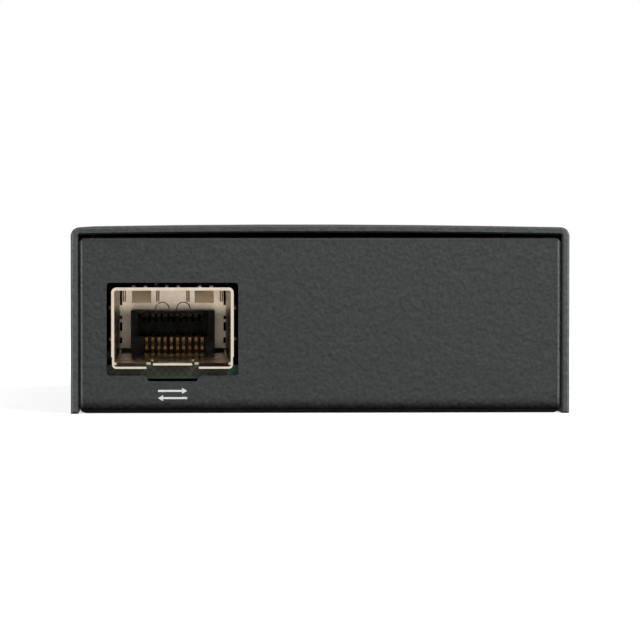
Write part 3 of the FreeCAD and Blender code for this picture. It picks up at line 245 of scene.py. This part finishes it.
def tin():
    """Tin plate with faint rolling marks along the sheet, with painted shade low on the cage's rear wall and
    painted light above it.
    """
    material = surface("tin plate", (0.67, 0.58, 0.465), (0.735, 0.645, 0.53), 0.9, (0.19, 0.31), metal=1.0,
                       bump=0.003, stretch=(1, 0.15, 1))
    tree, shader, plain = opened(material)
    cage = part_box("sfp_cage")[1]
    wall_front, wall_back = cage.y - 1.0 * MM, cage.y + 0.1 * MM
    low_to_high, shaded_to_lit = (cage.z - 4.4 * MM, cage.z - 2.9 * MM), (-0.62, 0.2)
    y, z = place_in(tree)[1:]
    wall = product(tree, above(tree, y, wall_front), below(tree, y, wall_back))
    # painted shade on the lower part of the rear wall, painted light on its upper part
    painted_wall_light = ranged(tree, z, low_to_high, shaded_to_lit)
    tone = total(tree, product(tree, wall, painted_wall_light), 1.0)
    tree.links.new(scaled(tree, plain, tone), shader.inputs["Base Color"])
    return material


def nickel():
    return surface("spring alloy", (0.66, 0.58, 0.47), (0.8, 0.72, 0.62), 0.6, (0.25, 0.38), metal=1.0,
                   bump=0.002)


def zinc():
    return surface("zinc plate", (0.5, 0.5, 0.5), (0.64, 0.64, 0.63), 0.5, (0.28, 0.42), metal=1.0,
                   bump=0.003)


def black_zinc():
    return surface("black zinc", (0.03, 0.03, 0.031), (0.055, 0.055, 0.056), 0.35, (0.35, 0.5), metal=0.7,
                   bump=0.004)


def moulding():
    return surface("black moulding", (0.012, 0.013, 0.014), (0.022, 0.023, 0.024), 0.15, (0.4, 0.52),
                   bump=0.004, gloss=0.26)


def gold():
    return surface("gold contact", (0.70, 0.54, 0.27), (0.86, 0.70, 0.42), 0.35, (0.2, 0.32), metal=1.0,
                   bump=0.001)


def lens():
    """Green-tinted moulding that lets some light through."""
    clearness = 0.2
    material = surface("tinted lens", (0.30, 0.55, 0.33), (0.36, 0.62, 0.39), 1.2, (0.08, 0.16))
    material.node_tree.nodes["Principled BSDF"].inputs["Transmission Weight"].default_value = clearness
    return material


def chip_body():
    return surface("chip epoxy", (0.014, 0.014, 0.015), (0.024, 0.024, 0.025), 0.12, (0.5, 0.65),
                   bump=0.006)


def tinned():
    return surface("tinned lead", (0.55, 0.55, 0.54), (0.7, 0.7, 0.68), 0.3, (0.3, 0.45), metal=1.0,
                   bump=0.002)


def aluminium():
    return surface("aluminium can", (0.6, 0.6, 0.61), (0.74, 0.74, 0.75), 0.4, (0.28, 0.4), metal=1.0,
                   stretch=(1, 1, 0.1))


def ferrite():
    return surface("ferrite", (0.05, 0.05, 0.052), (0.085, 0.085, 0.088), 0.3, (0.55, 0.7), bump=0.01)


def ceramic():
    return surface("capacitor ceramic", (0.25, 0.16, 0.09), (0.34, 0.23, 0.14), 0.3, (0.4, 0.55),
                   bump=0.003)


def glaze():
    return surface("resistor glaze", (0.012, 0.012, 0.014), (0.022, 0.022, 0.026), 0.3, (0.25, 0.35))


def glass_weave(tree):
    """Cut edge of a glass laminate: grey-green, with the crossed bundles of its cloth."""
    full_turn, bundle, waviness = 2 * 3.1416, 0.95 * MM, 5.0
    dark, pale = (0.007, 0.008, 0.002), (0.036, 0.036, 0.019)
    x, y, z = place_in(tree)
    along = total(tree, x, y)
    wobble = product(tree, noise(tree, 0.5), waviness)

    def bundles(level):
        return math_node(tree, "SINE", total(tree, wobble, product(tree, level, full_turn / bundle)))

    rising, falling = bundles(total(tree, along, z)), bundles(difference(tree, along, z))
    return blend(tree, math_node(tree, "MAXIMUM", rising, falling), dark, pale, (0.0, 1.0))


def laminate():
    """Green solder mask, run over the edges at the cage's right side, and woven laminate at the others."""
    material = surface("board laminate", (0.012, 0.06, 0.03), (0.02, 0.085, 0.045), 0.8, (0.4, 0.55),
                       bump=0.01, gloss=0.34)
    tree, shader, mask = opened(material)
    run_over_width, masked_foot, most_upright = 0.62 * MM, 0.14 * MM, 0.5
    foot, cage_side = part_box("main_board")[0].z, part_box("sfp_cage")[1].x
    facing = node(tree, "ShaderNodeSeparateXYZ")
    tree.links.new(node(tree, "ShaderNodeNewGeometry").outputs["Normal"], facing.inputs[0])
    edge = below(tree, magnitude(tree, facing.outputs[2]), most_upright)
    x, z = place_in(tree)[::2]
    run_over = below(tree, magnitude(tree, difference(tree, x, cage_side)), run_over_width)
    bare = product(tree, edge, above(tree, z, foot + masked_foot), difference(tree, 1.0, run_over))
    tree.links.new(choose(tree, bare, mask, glass_weave(tree)), shader.inputs["Base Color"])
    return material


def ink():
    """Printed marks: matt off-white."""
    return surface("panel ink", (0.66, 0.66, 0.66), (0.78, 0.78, 0.78), 0.2, (0.5, 0.6), bump=0.003)


FINISHES = {
    "coated_steel": powder_coat, "zinc_screw": zinc, "black_screw": black_zinc, "board_laminate": laminate,
    "tin_plate": tin, "spring_alloy": nickel, "black_moulding": moulding, "gold_contact": gold,
    "light_green": lens, "chip_body": chip_body, "tinned_lead": tinned, "crystal_can": zinc,
    "aluminium_can": aluminium, "ferrite": ferrite, "ceramic_tan": ceramic, "resistor_black": glaze,
}


def dress_nodes():
    """Makes a finish for each material slot, gives every CAD node its own and returns them by slot."""
    finishes = {slot: make() for slot, make in FINISHES.items()}
    for part in frame["record"]["subparts"]:
        mesh = NODES[part["node"]].data
        mesh.materials.clear()
        mesh.materials.append(finishes[part["material_slot"]])
    return finishes


finishes = dress_nodes()


# --- Details on the housing and the board ----------------------------------------------------
def piece(name, form, material):
    """Object that rides on the part, made from a bmesh."""
    mesh = bpy.data.meshes.new(name)
    bmesh.ops.recalc_face_normals(form, faces=form.faces)
    form.to_mesh(mesh)
    form.free()
    mesh.materials.append(material)
    made = bpy.data.objects.new(name, mesh)
    bpy.context.scene.collection.objects.link(made)
    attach(made, "root")
    return made


def plate(form, outline, thickness):
    """Flat plate on an outline of points, as thick as the given vector."""
    face = form.faces.new([form.verts.new(point) for point in outline])
    raised = bmesh.ops.extrude_face_region(form, geom=[face])["geom"]
    corners = [part for part in raised if isinstance(part, bmesh.types.BMVert)]
    bmesh.ops.translate(form, vec=thickness, verts=corners)


def port_mark():
    """Two arrows, out and in, printed under the fibre port."""
    cage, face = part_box("sfp_cage"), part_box("chassis")[0].y
    middle = (cage[0].x + cage[1].x) / 2
    length, line, head, reach, gap = 3.5 * MM, 0.24 * MM, 0.62 * MM, 0.36 * MM, 0.86 * MM
    height, ink_depth = 2.3 * MM, 0.02 * MM
    outline = [(-length / 2, -line / 2), (length / 2 - head, -line / 2), (length / 2 - head, -reach),
               (length / 2, 0), (length / 2 - head, reach), (length / 2 - head, line / 2),
               (-length / 2, line / 2)]
    form = bmesh.new()
    for turn in (-1, 1):
        level = height + turn * gap / 2
        points = [Vector((middle + turn * u, face + ink_depth / 4, level + v)) for u, v in outline]
        plate(form, points, Vector((0, -ink_depth, 0)))
    piece("port_mark", form, ink())


def contact_pads():
    """Tinned pads on the board under the tails of the connector's lower contacts."""
    tails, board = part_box("sfp_contacts_lower"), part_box("main_board")
    count, pitch, half, thickness = 10, 0.8 * MM, 0.25 * MM, 0.04 * MM
    front, back = tails[0].y - 0.5 * MM, tails[0].y + 1.0 * MM
    first = (tails[0].x + tails[1].x) / 2 - (count - 1) / 2 * pitch
    form = bmesh.new()
    for place in range(count):
        x = first + place * pitch
        outline = [(x - half, front), (x + half, front), (x + half, back), (x - half, back)]
        plate(form, [Vector((u, v, board[1].z)) for u, v in outline], Vector((0, 0, thickness)))
    piece("contact_pads", form, finishes["tinned_lead"])


def seam_shade_strips():
    """Coated strips behind the rear panel's side edges that close its seams with the cover: sheets standing
    in for shade there.
    """
    cover, panel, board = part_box("top_cover")[1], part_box("chassis")[1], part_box("main_board")[1]
    panel_sheet, cover_sheet, crown = 0.8 * MM, 0.9 * MM, 0.25 * MM
    width, thickness, gap = 1.2 * MM, 0.12 * MM, 0.02 * MM
    corner_across, corner_down = 0.13 * MM, 0.12 * MM
    back = panel.y - panel_sheet - gap
    outer = cover.x - cover_sheet - gap
    top = cover.z - crown - cover_sheet - gap
    for name, side in (("seam_shade_strip_left", -1), ("seam_shade_strip_right", 1)):
        outline = [(outer, board.z), (outer - width, board.z), (outer - width, top),
                   (outer - corner_across, top), (outer, top - corner_down)]
        form = bmesh.new()
        plate(form, [Vector((side * x, back, z)) for x, z in outline], Vector((0, -thickness, 0)))
        piece(name, form, finishes["coated_steel"])


port_mark()
contact_pads()
# dark strips that close the rear seams, standing in for the shade seen there
seam_shade_strips()


# --- Set, lamps and camera -------------------------------------------------------------------
def seen_by_eye(tree):
    """1 for camera, glossy and transmission rays, which show the white background; 0 for the others."""
    path = node(tree, "ShaderNodeLightPath")
    mirrored = math_node(tree, "MAXIMUM", path.outputs["Is Camera Ray"], path.outputs["Is Glossy Ray"])
    return math_node(tree, "MAXIMUM", mirrored, path.outputs["Is Transmission Ray"])


def white_world():
    """Soft white light, most of it from above, which the eye and reflections see as pure white."""
    strength, share_at_horizon, share_above, full_height = 0.37, 0.25, 1.6, 0.7
    world = bpy.data.worlds.new("studio")
    bpy.context.scene.world = world
    world.use_nodes = True
    tree = world.node_tree
    background = tree.nodes["Background"]
    light = ranged(tree, place_in(tree, "Generated")[2], (0.0, full_height),
                   (share_at_horizon * strength, share_above * strength))
    tree.links.new(math_node(tree, "MAXIMUM", seen_by_eye(tree), light), background.inputs["Strength"])
    background.inputs["Color"].default_value = (1, 1, 1, 1)


def lamps():
    """Square soft lamps in millimetres and watts: a key and a pair in front, and a pair behind."""
    size, front, rear = 120 * MM, (0, -20, 10), (0, 20, 10)
    for name, place, aim, watts in (
            ("key", (110, -170, 190), front, 0.5),
            ("left", (-180, -160, 150), front, 0.3),
            ("rear_left", (-150, 190, 170), rear, 0.32),
            ("rear_right", (150, 190, 170), rear, 0.32),
            ("right", (180, -160, 150), front, 0.28)):
        data = bpy.data.lights.new(name, "AREA")
        data.size, data.energy = size, watts
        lamp = bpy.data.objects.new(name, data)
        bpy.context.scene.collection.objects.link(lamp)
        lamp.location = Vector(place) * MM
        lamp.rotation_euler = (Vector(aim) - Vector(place)).to_track_quat("-Z", "Y").to_euler()


def floor_material():
    """Matt floor that looks white, keeps the object's shadow and throws little light back.

    It glows for the eye, less so near the object, where the lamps light it, and fully in reflections.
    """
    thrown_back, near_to_far, dimming = 0.075, (50 * MM, 450 * MM), (0.38, 0.14)
    material = surface("white floor", (0.39, 0.39, 0.39), (0.41, 0.41, 0.41), 4.0, (0.8, 0.9), gloss=0.0)
    tree, shader, pale = opened(material)
    direct = node(tree, "ShaderNodeLightPath").outputs["Is Camera Ray"]
    share = total(tree, product(tree, direct, 1 - thrown_back), thrown_back)
    tree.links.new(scaled(tree, pale, share), shader.inputs["Base Color"])
    away = node(tree, "ShaderNodeVectorMath", operation="LENGTH")
    tree.links.new(node(tree, "ShaderNodeTexCoord").outputs["Object"], away.inputs[0])
    dimmed = product(tree, direct, ranged(tree, away.outputs["Value"], near_to_far, dimming))
    shader.inputs["Emission Color"].default_value = (1, 1, 1, 1)
    tree.links.new(difference(tree, seen_by_eye(tree), dimmed), shader.inputs["Emission Strength"])
    return material


def white_floor():
    half_side = 4.0
    form = bmesh.new()
    bmesh.ops.create_grid(form, x_segments=1, y_segments=1, size=half_side)
    mesh = bpy.data.meshes.new("floor")
    form.to_mesh(mesh)
    form.free()
    mesh.materials.append(floor_material())
    floor = bpy.data.objects.new("floor", mesh)
    bpy.context.scene.collection.objects.link(floor)


def camera():
    """Long lens in front of the port panel, a little left of its middle and level with the cover's top."""
    eye, aim = Vector((-17.3, -490.0, 23.2)) * MM, Vector((-0.09, -41.0, 11.25)) * MM
    lens_length = 210.4
    data = bpy.data.cameras.new("camera")
    data.lens = lens_length
    view = bpy.data.objects.new("camera", data)
    view.location = eye
    view.rotation_euler = (aim - eye).to_track_quat("-Z", "Y").to_euler()
    bpy.context.scene.collection.objects.link(view)
    bpy.context.scene.camera = view


white_world()
lamps()
white_floor()
camera()
bpy.context.scene.view_settings.view_transform = "Standard"

write_size()
